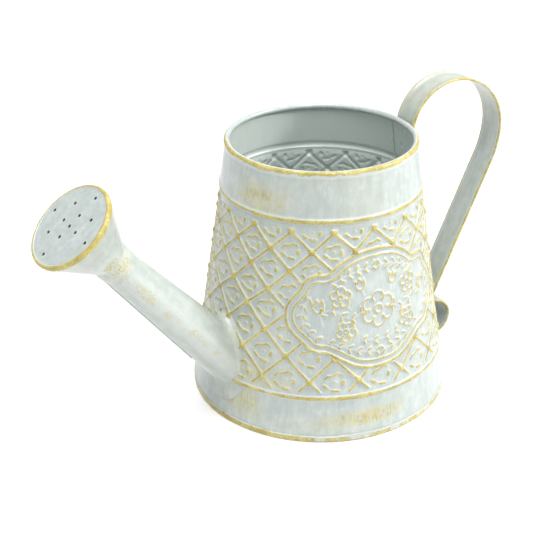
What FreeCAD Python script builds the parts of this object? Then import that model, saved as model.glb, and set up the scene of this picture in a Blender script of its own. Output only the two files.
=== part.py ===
import FreeCAD, Part
import math
import os

import Sketcher

# A small pressed-sheet watering can: embossed conical body, rose spout and strap handle.
# The frame has +Z up and its origin at the centre of the base on the ground plane. The handle
# lies along +X, the embossed cartouche faces -Y, and the spout leaves on the -X side, turned
# nine degrees towards the front as it is soldered. Lengths are in millimetres, angles in degrees.

Vector = FreeCAD.Vector
Rotation = FreeCAD.Rotation
Placement = FreeCAD.Placement

DIMENSIONS = {
    # sheet and foot
    "sheet": 0.6,
    "foot_radius": 65.9,
    "foot_round": 0.4,
    "hem_height": 3.9,
    "skirt_foot": 4.4,
    "pan_rise": 2.4,
    "sealant_width": 2.0,
    "sealant_height": 1.4,
    # wall, as radii of its outer face and heights
    "flare_radius": 60.0,
    "bead_round": 2.2,
    "bead_low_start": 21.5,
    "bead_low_end": 24.6,
    "bead_high_start": 108.4,
    "bead_high_end": 111.6,
    "skirt_top_radius": 62.4,
    "panel_low_radius": 62.2,
    "panel_high_radius": 49.4,
    "band_low_radius": 49.4,
    "band_high_radius": 46.75,
    "band_height": 129.5,
    # rolled rim
    "rim_radius": 45.7,
    "rim_height": 132.0,
    "roll_radius": 1.5,
    "roll_end": 230.0,
    # side seam
    "lap_start": 2.0,
    "lap_angle": 7.0,
    "seam_angle": 1.2,
    "seam_rise": 0.4,
    # spout, on its own axis with the rose face at zero
    "spout_turn": 189.0,
    "spout_lift": 50.0,
    "rose_reach": 136.96,
    "rose_height": 124.35,
    "spout_end": 26.5,
    "spout_end_radius": 8.65,
    "spout_taper": 0.039,
    "spout_tail": 134.0,
    "spout_bore": 8.2,
    "bore_start": -90.0,
    "bore_length": 50.0,
    "root_fillet": 4.0,
    "root_inset": 0.15,
    "root_spread": 1.5,
    "root_end": 97.5,
    "spout_seam_angle": 11.0,
    "spout_seam_rise": 0.35,
    "spout_seam_start": 34.0,
    "spout_seam_end": 103.5,
    # rose
    "rose_radius": 21.3,
    "rose_bead": 1.1,
    "rose_dish": 0.35,
    "rose_lip": 2.3,
    "lip_gap": 0.2,
    "lip_sheet": 0.72,
    "collar_end": 29.5,
    "solder_end": 31.8,
    "hole_radius": 0.85,
    "hole_depth": 6.0,
    "arm_turn": -7.0,
    "arm_inner": 6.2,
    "arm_outer": 16.2,
    "corner_turn": 38.0,
    "corner_reach": 12.0,
    # handle strap, as its centre line
    "strap_width": 15.4,
    "hem_width": 2.2,
    "tab_lean": 8.42,
    "tab_length": 10.0,
    "crown_reach": 73.0,
    "crown_height": 151.3,
    "crown_back": 24.6,
    "crown_front": 28.9,
    "shoulder": 45.0,
    "flank_lean": 24.0,
    "foot_bend": 16.0,
    "foot_reach": 63.45,
    "curl_foot": 6.2,
    "curl_lift": 32.0,
    "curl_height": 14.4,
    "curl_round": 10.4,
    "curl_close": 176.0,
    # spot welds
    "weld_radius": 1.6,
    "weld_length": 2.4,
    "weld_spread": 3.4,
    "weld_margin": 1.8,
    "weld_step": 6.5,
    "weld_foot": 22.6,
}

doc = FreeCAD.newDocument("WateringCan")
sheet = doc.addObject("Spreadsheet::Sheet", "Dims")
for line, (alias, value) in enumerate(DIMENSIONS.items(), 1):
    sheet.set("A%d" % line, alias)
    sheet.set("B%d" % line, str(value))
    sheet.setAlias("B%d" % line, alias)
doc.recompute()


def size(alias):
    """A driving dimension's value."""
    return float(sheet.get(alias))


def bound(expression):
    """An expression on plain aliases, with the sheet's name put before each of them."""
    words = []
    word = ""
    for letter in expression + " ":
        if letter.isalnum() or letter == "_":
            word += letter
            continue
        words.append("Dims." + word if word in DIMENSIONS else word)
        words.append(letter)
        word = ""
    return "".join(words).strip()


def value_of(expression):
    """The number that an expression on the sheet's aliases gives."""
    result = sheet.evalExpression(bound(expression))
    return float(getattr(result, "Value", result))


def arc_between(start, end, radius, left_turn):
    """The arc of at most half a turn from start to end."""
    chord = end - start
    half = chord.Length / 2
    rise = math.sqrt(max(radius * radius - half * half, 0.0))
    across = Vector(-chord.y, chord.x, 0).normalize()
    centre = start + chord * 0.5 + across * (rise if left_turn else -rise)
    first = math.atan2(start.y - centre.y, start.x - centre.x)
    last = math.atan2(end.y - centre.y, end.x - centre.x)
    circle = Part.Circle(centre, Vector(0, 0, 1), radius)
    if left_turn:
        return Part.ArcOfCircle(circle, first, last)
    return Part.ArcOfCircle(circle, last, first)


def fix_coordinate(sketch, kind, edge, end, expression):
    """Bind one coordinate of an edge's end point to an expression, or put it on the axis."""
    if expression == "0":
        axis = -2 if kind == "DistanceX" else -1
        sketch.addConstraint(Sketcher.Constraint("PointOnObject", edge, end, axis))
        return
    number = sketch.addConstraint(
        Sketcher.Constraint(kind, -1, 1, edge, end, value_of(expression)))
    sketch.setExpression("Constraints[%d]" % number, bound(expression))


def draw_outline(sketch, corners):
    """Draw a closed outline through corners (x, y, bend).

    The bend is that of the edge which leaves the corner: None for a line, or (radius, +1) for an
    arc that turns left and (radius, -1) for one that turns right.
    """
    points = [Vector(value_of(x), value_of(y), 0) for x, y, bend in corners]
    starts = []
    ends = []
    for number, (x, y, bend) in enumerate(corners):
        start = points[number]
        end = points[(number + 1) % len(points)]
        if bend is None:
            edge = sketch.addGeometry(Part.LineSegment(start, end), False)
        else:
            arc = arc_between(start, end, value_of(bend[0]), bend[1] > 0)
            edge = sketch.addGeometry(arc, False)
        turned = bend is not None and bend[1] < 0
        starts.append((edge, 2 if turned else 1))
        ends.append((edge, 1 if turned else 2))
    for number, (x, y, bend) in enumerate(corners):
        before = ends[number - 1]
        here = starts[number]
        sketch.addConstraint(Sketcher.Constraint("Coincident", *before, *here))
        fix_coordinate(sketch, "DistanceX", here[0], here[1], x)
        fix_coordinate(sketch, "DistanceY", here[0], here[1], y)
    for number, (x, y, bend) in enumerate(corners):
        if bend is not None:
            fixed = sketch.addConstraint(
                Sketcher.Constraint("Radius", starts[number][0], value_of(bend[0])))
            sketch.setExpression("Constraints[%d]" % fixed, bound(bend[0]))


def new_body(label):
    """An empty body whose label names its node."""
    body = doc.addObject("PartDesign::Body", "Body_" + label)
    body.Label = label
    return body


def new_sketch(body, role, name, offset=None):
    """A sketch on one of the body's own origin planes."""
    sketch = body.newObject("Sketcher::SketchObject", name)
    plane = [item for item in body.Origin.OriginFeatures if item.Role == role][0]
    sketch.AttachmentSupport = (plane, [""])
    sketch.MapMode = "FlatFace"
    if offset is not None:
        sketch.AttachmentOffset = offset
    return sketch


def revolve(body, name, corners, angle=None, midplane=False):
    """Turn an outline drawn in the body's XZ plane about the body's Z axis."""
    sketch = new_sketch(body, "XZ_Plane", name + "_outline")
    draw_outline(sketch, corners)
    doc.recompute()
    turned = body.newObject("PartDesign::Revolution", name)
    turned.Profile = sketch
    turned.ReferenceAxis = (sketch, ["V_Axis"])
    turned.Angle = 360.0
    if angle is not None:
        turned.setExpression("Angle", bound(angle))
    turned.Midplane = midplane
    doc.recompute()
    return turned


def pocket(body, name, sketch, depth, midplane=False):
    """Cut a sketch's outlines out of a body, and stop if nothing comes away."""
    doc.recompute()
    before = body.Shape.Volume
    cutter = body.newObject("PartDesign::Pocket", name)
    cutter.Profile = sketch
    cutter.Midplane = midplane
    cutter.setExpression("Length", bound(depth))
    doc.recompute()
    if not body.Shape.Volume < before:
        raise RuntimeError("%s takes nothing away" % name)


def draw_circle(sketch, across, along, alias):
    """Draw a circle about a point given by expressions, or about the origin if both are 0."""
    centre = Vector(value_of(across), value_of(along), 0)
    circle = sketch.addGeometry(Part.Circle(centre, Vector(0, 0, 1), size(alias)), False)
    if across == along == "0 * sheet":
        sketch.addConstraint(Sketcher.Constraint("Coincident", circle, 3, -1, 1))
    else:
        fix_coordinate(sketch, "DistanceX", circle, 3, across)
        fix_coordinate(sketch, "DistanceY", circle, 3, along)
    radius = sketch.addConstraint(Sketcher.Constraint("Radius", circle, size(alias)))
    sketch.setExpression("Constraints[%d]" % radius, bound(alias))


def cut(label, base, tool):
    """The base with the tool taken away."""
    difference = doc.addObject("Part::Cut", "Cut_" + label)
    difference.Label = label
    difference.Base = base
    difference.Tool = tool
    doc.recompute()
    return difference


def spout_frame(distance=0.0):
    """The spout's own frame: Z along its axis and away from the body, zero at the rose face."""
    turn = size("spout_turn")
    lean = 90.0 - size("spout_lift")
    rotation = Rotation(Vector(0, 0, 1), turn) * Rotation(Vector(0, 1, 0), lean)
    reach = size("rose_reach")
    centre = Vector(reach * math.cos(math.radians(turn)), reach * math.sin(math.radians(turn)),
                    size("rose_height"))
    return Placement(centre + rotation.multVec(Vector(0, 0, distance)), rotation)


def wall_face(inset):
    """The wall's face from its foot to under the rim, moved inwards by inset."""
    def at(radius, height, bend=None):
        return ("%s - (%s)" % (radius, inset), height, bend)

    bead = ("bead_round", 1)
    return [
        at("foot_radius - sheet", "skirt_foot", ("flare_radius", -1)),
        at("skirt_top_radius", "bead_low_start", bead),
        at("panel_low_radius", "bead_low_end"),
        at("panel_high_radius", "bead_high_start", bead),
        at("band_low_radius", "bead_high_end"),
        at("band_high_radius", "band_height"),
    ]


def backwards(corners):
    """The same open run of corners, drawn the other way."""
    bends = [None] + [bend and (bend[0], -bend[1]) for x, y, bend in corners[:-1]]
    return [(x, y, bend) for (x, y, old), bend in zip(reversed(corners), reversed(bends))]


def rolled_rim():
    """The rim's roll over the top of the wall and down its inner side."""
    def at(angle, radius, bend):
        across = "rim_radius + (%s) * cos(%s)" % (radius, angle)
        up = "rim_height + (%s) * sin(%s)" % (radius, angle)
        return (across, up, bend)

    inner = "roll_radius - sheet"
    return [
        at("0", "roll_radius", ("roll_radius", 1)),
        at("roll_end / 2", "roll_radius", ("roll_radius", 1)),
        at("roll_end", "roll_radius", None),
        at("roll_end", inner, (inner, -1)),
        at("roll_end / 2", inner, (inner, -1)),
        at("0", inner, None),
    ]


def make_wall():
    """The embossed sheet: flared skirt, two beads, panel, upper band, rolled rim and lap seam."""
    body = new_body("body_wall")
    foot_outer = ("foot_radius - sheet", "sheet", None)
    foot_inner = ("foot_radius - 2 * sheet", "sheet", None)
    outline = [foot_outer] + wall_face("0 * sheet") + rolled_rim()
    outline += backwards(wall_face("sheet")) + [foot_inner]
    revolve(body, "Sheet", outline)
    lap = wall_face("sheet")
    revolve(body, "Lap", lap + backwards(wall_face("2 * sheet")), "lap_angle")
    body.Placement = Placement(Vector(), Rotation(Vector(0, 0, 1), size("lap_start")))
    unturned = Placement(Vector(), Rotation(Vector(0, 0, 1), -size("lap_start")))
    above_root = unturned * spout_frame(size("bore_start"))
    sketch = new_sketch(body, "XY_Plane", "Bore_circle", above_root)
    draw_circle(sketch, "0 * sheet", "0 * sheet", "spout_bore")
    pocket(body, "Bore", sketch, "bore_length")
    return body


def make_envelope():
    """The filled outer shape of the wall, which trims whatever is soldered to it."""
    body = new_body("wall_envelope")
    face = wall_face("0 * sheet")
    outline = [("0", "sheet", None), ("foot_radius - sheet", "sheet", None)] + face
    outline += [("0", "band_height", None)]
    revolve(body, "Filled", outline)
    return body


def make_base_pan():
    """The recessed bottom, whose edge folds down and round the foot of the wall as a hem."""
    body = new_body("base_pan")
    outline = [
        ("0", "pan_rise", None),
        ("foot_radius - 3 * sheet", "pan_rise", None),
        ("foot_radius - 3 * sheet", "0", None),
        ("foot_radius - foot_round", "0", ("foot_round", 1)),
        ("foot_radius", "foot_round", None),
        ("foot_radius", "hem_height", None),
        ("foot_radius - sheet", "hem_height", None),
        ("foot_radius - sheet", "sheet", None),
        ("foot_radius - 2 * sheet", "sheet", None),
        ("foot_radius - 2 * sheet", "pan_rise + sheet", None),
        ("0", "pan_rise + sheet", None),
    ]
    revolve(body, "Pan", outline)
    return body


def make_base_sealant():
    """The fillet of sealant in the corner between the bottom and the wall."""
    body = new_body("base_sealant")
    outline = [
        ("foot_radius - 2 * sheet - sealant_width", "pan_rise + sheet", None),
        ("foot_radius - 2 * sheet", "pan_rise + sheet", None),
        ("foot_radius - 2 * sheet", "pan_rise + sheet + sealant_height", None),
    ]
    revolve(body, "Sealant", outline)
    return body


def make_side_seam_solder():
    """The line of solder beside the lap, up the inside of the wall."""
    body = new_body("side_seam_solder")
    outline = wall_face("sheet") + backwards(wall_face("sheet + seam_rise"))
    revolve(body, "Solder", outline, "seam_angle")
    turn = size("lap_start") + size("lap_angle")
    body.Placement = Placement(Vector(), Rotation(Vector(0, 0, 1), turn))
    return body


def spout_radius(distance):
    """The spout's outer radius at a distance below the rose face, as an expression."""
    return "spout_end_radius + (%s - spout_end) * spout_taper" % distance


def on_spout(distance, rise="0 * sheet"):
    """A point on the spout's outer face, lifted by rise, in the spout's own frame."""
    return ("%s + %s" % (spout_radius(distance), rise), "0 - (%s)" % distance, None)


def make_spout_solid():
    """The spout's outer cone, filled."""
    body = new_body("spout_envelope")
    end = on_spout("spout_end")
    tail = on_spout("spout_tail")
    outline = [("0", tail[1], None), tail, end, ("0", end[1], None)]
    revolve(body, "Filled", outline)
    body.Placement = spout_frame()
    return body


def make_spout_tube(envelope):
    """The tapered spout, trimmed where it butts against the wall."""
    body = new_body("spout_blank")
    outline = [
        on_spout("spout_tail", "-1 * sheet"),
        on_spout("spout_tail"),
        on_spout("spout_end"),
        on_spout("spout_end", "-1 * sheet"),
    ]
    revolve(body, "Tube", outline)
    body.Placement = spout_frame()
    return cut("spout_tube", body, envelope)


def make_smooth_cone():
    """The panel's plain cone, without beads, set a little inside the wall's face."""
    body = new_body("smooth_cone")
    slope = "(panel_low_radius - panel_high_radius) / (bead_high_start - bead_low_end)"
    foot = "panel_low_radius - root_inset + (bead_low_end - sheet) * " + slope
    outline = [
        ("0", "sheet", None),
        (foot, "sheet", None),
        ("panel_high_radius - root_inset", "bead_high_start", None),
        ("0", "bead_high_start", None),
    ]
    revolve(body, "Filled", outline)
    return body


def make_smooth_spout():
    """The spout's plain cone, set a little inside the spout's face."""
    body = new_body("smooth_spout")
    end = on_spout("spout_end", "-1 * root_inset")
    tail = on_spout("spout_tail", "-1 * root_inset")
    revolve(body, "Filled", [("0", tail[1], None), tail, end, ("0", end[1], None)])
    body.Placement = spout_frame()
    return body


def make_solder_reach():
    """A wider cone round the spout's root, as far out as the solder runs."""
    body = new_body("solder_reach")
    wide = "root_fillet + root_spread"
    tail = on_spout("spout_tail + root_spread", wide)
    end = on_spout("root_end", wide)
    revolve(body, "Filled", [("0", tail[1], None), tail, end, ("0", end[1], None)])
    body.Placement = spout_frame()
    return body


def make_spout_root_solder(envelope, spout_solid):
    """The soft fillet of solder that joins the spout to the wall."""
    joined = doc.addObject("Part::Fuse", "Cone_and_spout")
    joined.Base = make_smooth_cone()
    joined.Tool = make_smooth_spout()
    doc.recompute()
    root = [number for number, edge in enumerate(joined.Shape.Edges, 1)
            if isinstance(edge.Curve, Part.BSplineCurve)]
    softened = doc.addObject("Part::Fillet", "Softened_root")
    softened.Base = joined
    softened.Edges = [(number, size("root_fillet"), size("root_fillet")) for number in root]
    doc.recompute()
    reach = doc.addObject("Part::Common", "Within_reach")
    reach.Base = softened
    reach.Tool = make_solder_reach()
    outside = cut("outside_wall", reach, envelope)
    return cut("spout_root_solder", outside, spout_solid)


def make_spout_seam_solder():
    """The soldered lap along the underside of the spout."""
    body = new_body("spout_seam_solder")
    outline = [
        on_spout("spout_seam_end"),
        on_spout("spout_seam_end", "spout_seam_rise"),
        on_spout("spout_seam_start", "spout_seam_rise"),
        on_spout("spout_seam_start"),
    ]
    revolve(body, "Seam", outline, "spout_seam_angle", True)
    body.Placement = spout_frame()
    return body


def make_rose_cone():
    """The rose's cone, with a short collar over the end of the spout."""
    body = new_body("rose_cone")
    outline = [
        on_spout("collar_end"),
        on_spout("collar_end", "sheet"),
        on_spout("spout_end", "sheet"),
        ("rose_radius - lip_gap", "-1 * rose_lip", None),
        ("rose_radius - lip_gap - lip_sheet", "-1 * rose_lip", None),
        on_spout("spout_end"),
    ]
    revolve(body, "Cone", outline)
    body.Placement = spout_frame()
    return body


def rose_hole_places():
    """Reach and turn of the holes round the middle one: two on each arm, one at three corners."""
    places = []
    for quarter in range(4):
        for reach in ("arm_inner", "arm_outer"):
            places.append((reach, "arm_turn + %d" % (90 * quarter)))
    for quarter in range(3):
        places.append(("corner_reach", "corner_turn + %d" % (90 * quarter)))
    return places


def make_rose_face():
    """The pierced disc, with its edge rolled over the cone's lip."""
    body = new_body("rose_face")
    bead_drop = "sqrt(rose_bead ^ 2 - (rose_bead - rose_dish) ^ 2)"
    bead_inner = "rose_radius - rose_bead - " + bead_drop
    outline = [
        ("0", "-1 * rose_dish - sheet", None),
        (bead_inner, "-1 * rose_dish - sheet", None),
        (bead_inner, "-1 * rose_lip", None),
        ("rose_radius", "-1 * rose_lip", None),
        ("rose_radius", "-1 * rose_bead", ("rose_bead", 1)),
        ("rose_radius - rose_bead", "0", ("rose_bead", 1)),
        (bead_inner, "-1 * rose_dish", None),
        ("0", "-1 * rose_dish", None),
    ]
    revolve(body, "Disc", outline)
    sketch = new_sketch(body, "XY_Plane", "Holes_circles")
    draw_circle(sketch, "0 * sheet", "0 * sheet", "hole_radius")
    for reach, turn in rose_hole_places():
        across = "-1 * %s * sin(%s)" % (reach, turn)
        along = "%s * cos(%s)" % (reach, turn)
        draw_circle(sketch, across, along, "hole_radius")
    pocket(body, "Holes", sketch, "hole_depth")
    body.Placement = spout_frame()
    return body


def make_rose_solder():
    """The ring of solder between the rose's collar and the spout."""
    body = new_body("rose_neck_solder")
    outline = [
        on_spout("solder_end"),
        on_spout("collar_end", "sheet"),
        on_spout("collar_end"),
    ]
    revolve(body, "Solder", outline)
    body.Placement = spout_frame()
    return body


class Strip:
    """A run of lines and tangent arcs in a plane, kept as expressions."""

    def __init__(self, x, y, heading):
        self.points = [(x, y, heading)]
        self.bends = []

    def line_to(self, x, y):
        self.points.append((x, y, self.points[-1][2]))
        self.bends.append(None)

    def arc(self, radius, heading, side):
        x, y, before = self.points[-1]
        self.points.append((
            "%s + %d * %s * (sin(%s) - sin(%s))" % (x, side, radius, heading, before),
            "%s - %d * %s * (cos(%s) - cos(%s))" % (y, side, radius, heading, before),
            heading))
        self.bends.append((radius, side))

    def band(self, low, high):
        """A closed outline between two offsets to the left of the run."""
        def moved(offset):
            corners = []
            for (x, y, heading), bend in zip(self.points, self.bends + [None]):
                across = "%s - (%s) * sin(%s)" % (x, offset, heading)
                up = "%s + (%s) * cos(%s)" % (y, offset, heading)
                turned = bend and ("%s - %d * (%s)" % (bend[0], bend[1], offset), bend[1])
                corners.append((across, up, turned))
            return corners

        return moved(low) + backwards(moved(high))


def strap_line():
    """The strap's centre line, from the tab under the rim, over the hand hole, to the curl."""
    start_angle = "90 + tab_lean"
    first_x = "crown_reach - crown_back * cos(tab_lean)"
    first_y = "crown_height - crown_back - crown_back * sin(tab_lean)"
    run = Strip("%s + tab_length * sin(tab_lean)" % first_x,
                "%s - tab_length * cos(tab_lean)" % first_y, start_angle)
    run.line_to(first_x, first_y)
    run.arc("crown_back", "0", -1)
    run.arc("crown_front", "-90", -1)
    run.arc("shoulder", "-90 - flank_lean", -1)
    bend_x = "foot_reach + foot_bend * (1 - cos(flank_lean))"
    shoulder_x = "crown_reach + crown_front - shoulder * (1 - cos(flank_lean))"
    shoulder_y = "crown_height - crown_front - shoulder * sin(flank_lean)"
    bend_y = "%s - (%s - (%s)) / tan(flank_lean)" % (shoulder_y, shoulder_x, bend_x)
    run.line_to(bend_x, bend_y)
    run.arc("foot_bend", "-90", 1)
    run.line_to("foot_reach", "curl_height")
    run.arc("curl_foot", "curl_lift", 1)
    run.arc("curl_round", "curl_close", 1)
    return run


def make_handle_strap():
    """The strap: a flat band whose two edges are folded over on its outer side."""
    body = new_body("handle_strap")
    run = strap_line()
    whole = new_sketch(body, "XZ_Plane", "Strap_outline")
    draw_outline(whole, run.band("-0.5 * sheet", "1.5 * sheet"))
    doc.recompute()
    strap = body.newObject("PartDesign::Pad", "Strap")
    strap.Profile = whole
    strap.Midplane = True
    strap.setExpression("Length", "Dims.strap_width")
    doc.recompute()
    channel = new_sketch(body, "XZ_Plane", "Channel_outline")
    draw_outline(channel, run.band("0.5 * sheet", "1.5 * sheet"))
    pocket(body, "Channel", channel, "strap_width - 2 * hem_width", True)
    return body


def make_weld(frame, row, side):
    """One spot weld: a short cylinder that starts on the strap's face and runs into the wall."""
    weld = doc.addObject("Part::Cylinder", "Weld")
    weld.setExpression("Radius", "Dims.weld_radius")
    weld.setExpression("Height", "Dims.weld_length")
    weld.Placement = frame * Placement(Vector(row, side * size("weld_spread"), 0), Rotation())
    return weld


def make_welds(label, frame, rows, envelope):
    """A group of spot welds between the strap and the wall, trimmed to the wall's outer face."""
    group = doc.addObject("Part::Compound", label + "_blanks")
    group.Links = [make_weld(frame, row, side) for row in rows for side in (-1, 1)]
    return cut(label, group, envelope)


def make_handle_upper_welds(envelope):
    """Four spot welds that hold the strap's tab to the upper band."""
    lean = size("tab_lean")
    top = Vector(value_of(strap_line().points[1][0]), 0, value_of(strap_line().points[1][1]))
    turned = Rotation(Vector(0, 1, 0), -90.0 - lean)
    face = Placement(top, turned) * Placement(Vector(0, 0, size("sheet") / 2), Rotation())
    first = -size("weld_margin")
    return make_welds("handle_upper_welds", face, [first, first - size("weld_step")], envelope)


def make_handle_lower_welds(envelope):
    """Two spot welds that hold the strap's foot to the lower bead."""
    start = Vector(size("foot_reach") - size("sheet") / 2, 0, size("weld_foot"))
    face = Placement(start, Rotation(Vector(0, 1, 0), -90.0))
    return make_welds("handle_lower_welds", face, [0.0], envelope)


def check_model():
    """Stop if any object failed, or if an object's shape is null or not valid."""
    for item in doc.Objects:
        if "Invalid" in item.State or "Error" in item.State:
            raise RuntimeError("%s failed: %s" % (item.Label, item.State))
    for node in nodes:
        if node.Shape.isNull() or not node.Shape.isValid():
            raise RuntimeError("%s has no valid shape" % node.Label)


def write_nodes():
    """Write one STEP file for each node."""
    os.makedirs("parts", exist_ok=True)
    for node in nodes:
        node.Shape.exportStep("parts/%s.step" % node.Label)
        print(node.Label, len(node.Shape.Solids), "solids", round(node.Shape.Volume, 1), "mm3")


wall_envelope = make_envelope()
spout_envelope = make_spout_solid()
nodes = [
    make_wall(),
    make_side_seam_solder(),
    make_base_pan(),
    make_base_sealant(),
    make_spout_tube(wall_envelope),
    make_spout_seam_solder(),
    make_spout_root_solder(wall_envelope, spout_envelope),
    make_rose_cone(),
    make_rose_face(),
    make_rose_solder(),
    make_handle_strap(),
    make_handle_upper_welds(wall_envelope),
    make_handle_lower_welds(wall_envelope),
]
doc.recompute()
check_model()
write_nodes()
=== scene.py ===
import bmesh
import bpy
import math
import numpy as np
from mathutils import Euler, Matrix, Vector


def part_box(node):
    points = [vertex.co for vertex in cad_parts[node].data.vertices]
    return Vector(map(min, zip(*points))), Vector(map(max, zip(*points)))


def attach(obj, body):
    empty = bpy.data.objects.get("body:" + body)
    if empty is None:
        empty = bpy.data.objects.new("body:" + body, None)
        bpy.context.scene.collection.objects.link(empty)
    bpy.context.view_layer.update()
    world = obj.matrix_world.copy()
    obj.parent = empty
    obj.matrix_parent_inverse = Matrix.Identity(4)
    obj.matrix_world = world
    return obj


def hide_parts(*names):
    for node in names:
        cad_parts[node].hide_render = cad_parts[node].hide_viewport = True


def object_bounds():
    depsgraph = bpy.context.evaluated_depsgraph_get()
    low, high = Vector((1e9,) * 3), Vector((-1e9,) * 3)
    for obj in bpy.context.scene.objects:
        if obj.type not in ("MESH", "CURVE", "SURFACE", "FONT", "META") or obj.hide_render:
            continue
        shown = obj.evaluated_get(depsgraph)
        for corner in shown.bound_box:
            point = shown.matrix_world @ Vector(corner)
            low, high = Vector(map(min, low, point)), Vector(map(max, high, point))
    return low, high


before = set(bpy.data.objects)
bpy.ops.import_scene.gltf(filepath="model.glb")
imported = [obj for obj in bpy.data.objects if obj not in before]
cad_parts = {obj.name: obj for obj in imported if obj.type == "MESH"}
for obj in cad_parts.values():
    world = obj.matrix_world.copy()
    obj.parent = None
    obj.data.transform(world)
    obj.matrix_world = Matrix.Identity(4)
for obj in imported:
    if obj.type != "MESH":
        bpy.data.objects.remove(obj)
cad_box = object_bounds()

# Lengths are in millimetres until a piece is finished, and heights are over the ground.
MM = 0.001
SHEET = 0.6

# The wall's outer face: radii and heights where its runs meet.
FOOT_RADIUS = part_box("base_pan")[1].x / MM
SKIRT_FOOT = (FOOT_RADIUS - SHEET, SHEET)
SKIRT_HEM = (FOOT_RADIUS - SHEET, 4.4)
LOW_BEAD = ((62.4, 21.5), (62.2, 24.6))
HIGH_BEAD = ((49.4, 108.4), (49.4, 111.6))
BAND_TOP = (46.75, 129.5)
FLARE = 60.0
BEAD_ROUND = 2.2
ROLL = 1.5
ROLL_END = 230.0
ROLL_CENTRE = (45.7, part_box("body_wall")[1].z / MM - ROLL)
PANEL_LOW = 25.4
PANEL_HIGH = 107.0

# The panel's mesh: three sectors, each of so many columns and rows of faces.
SECTORS = {"front": 210.0, "seam_side": 330.0, "spout_side": 90.0}
SECTOR_TURN = 120.0
SECTOR_COLUMNS = 260
SECTOR_ROWS = 186
PLAIN_COLUMNS = 420
BAND_COLUMNS = 360

# The embossed lattice: 16 columns round the can, rows of bosses down the panel.
COLUMN = 22.5
FRONT = 270.0
ROW_HEIGHTS = [104.7, 95.4, 85.8, 75.2, 65.9, 54.9, 43.4, 31.3]
RIDGE_HEIGHT = 0.85
RIDGE_HALF = 1.3
BOSS_HEIGHT = 1.45
BOSS_HALF = 2.3
ROSETTE_HEIGHT = 0.62
PRESSED_BACK = 0.55

# Half of the cartouche's outline, as (degrees from the front, height).
CARTOUCHE_HALF = [
    (0, 95.0), (8, 94.4), (15, 92.2), (21, 88.6), (24.4, 85.7), (27.5, 84.6), (31.5, 84.6),
    (35.3, 83.2), (37.8, 80.6), (38.9, 78.2), (41.0, 75.3), (44.2, 71.6), (46.0, 67.0),
    (45.9, 61.5), (43.9, 57.2), (40.4, 53.7), (37.2, 51.0), (34.4, 48.2), (30.6, 46.8),
    (26.3, 46.3), (22.8, 44.6), (18.5, 42.0), (12.0, 38.4), (6.0, 36.9), (0, 36.6)]
FLAT_RADIUS = 56.0

# The handle's strap: its centre line's sizes, and how far each run leans, in degrees.
TAB_LEAN = 8.42
TAB_LENGTH = 10.0
CROWN_REACH = 73.0
CROWN_HEIGHT = 151.3
CROWN_BACK = 24.6
CROWN_FRONT = 28.9
SHOULDER = 45.0
FLANK_LEAN = 24.0
FOOT_BEND = 16.0
FOOT_REACH = 63.45
CURL_FOOT = 6.2
CURL_HEIGHT = 14.4
CURL_ROUND = 10.4
CURL_TURNS = (122.0, 144.0)
STRAIGHT_STEP = 2.5
BENT_STEP = 1.6

# Paint and rub colours, linear.
WASH = (0.435, 0.472, 0.455)
WASH_DARK = (0.345, 0.39, 0.37)
# Pale wash for the random scuffs and for the painted highlight beside the embossed ridges.
WASH_SCUFF_AND_HIGHLIGHT = (0.64, 0.675, 0.66)
# The inner face's wash, painted lighter than the outer wash as painted light for the shaded inside of
# the can.
INSIDE_LIT_WASH = (0.56, 0.615, 0.585)
RUB = (0.35, 0.285, 0.06)
RUB_DARK = (0.19, 0.14, 0.015)
RUB_LIGHT = (0.50, 0.44, 0.17)
RUB_HAZE = (0.45, 0.43, 0.24)
# Near black, painted as shade on the walls of the rose's holes.
UNLIT = (0.012, 0.012, 0.012)
SOLDER_LIGHT = (0.57, 0.63, 0.595)
SOLDER_DARK = (0.47, 0.52, 0.49)
SEALANT_LIGHT = (0.46, 0.48, 0.46)
SEALANT_DARK = (0.34, 0.36, 0.35)
FLOOR_LIGHT = (0.62, 0.62, 0.62)
FLOOR_DARK = (0.60, 0.60, 0.60)

# How fine the finishes' patterns are, in features a metre, and how deep their bumps are.
CLOUDS = 38.0
MOTTLE = 170.0
BRUSH_STROKES = 420.0
BRUSH_HAIRS = 1500.0
FLECKS = 1500.0
PAINT_DEPTH = 0.00016
LUMP_DEPTH = 0.0003


# ---------------------------------------------------------------- finishes

class Wire:
    """A socket of a finish, with arithmetic that adds Math nodes."""

    def __init__(self, finish, socket):
        self.finish = finish
        self.socket = socket

    def maths(self, operation, first, second):
        return self.finish.node("ShaderNodeMath", {0: first, 1: second}, operation=operation)

    def __add__(self, other):
        return self.maths("ADD", self, other)

    def __sub__(self, other):
        return self.maths("SUBTRACT", self, other)

    def __rsub__(self, other):
        return self.maths("SUBTRACT", other, self)

    def __mul__(self, other):
        return self.maths("MULTIPLY", self, other)

    def most(self, other):
        return self.maths("MAXIMUM", self, other)

    def least(self, other):
        return self.maths("MINIMUM", self, other)

    def ramp(self, low, high):
        """0 below low, 1 above high, and smooth between."""
        settings = {"Value": self, "From Min": low, "From Max": high}
        return self.finish.node("ShaderNodeMapRange", settings, interpolation_type="SMOOTHSTEP")

    __radd__ = __add__
    __rmul__ = __mul__


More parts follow.
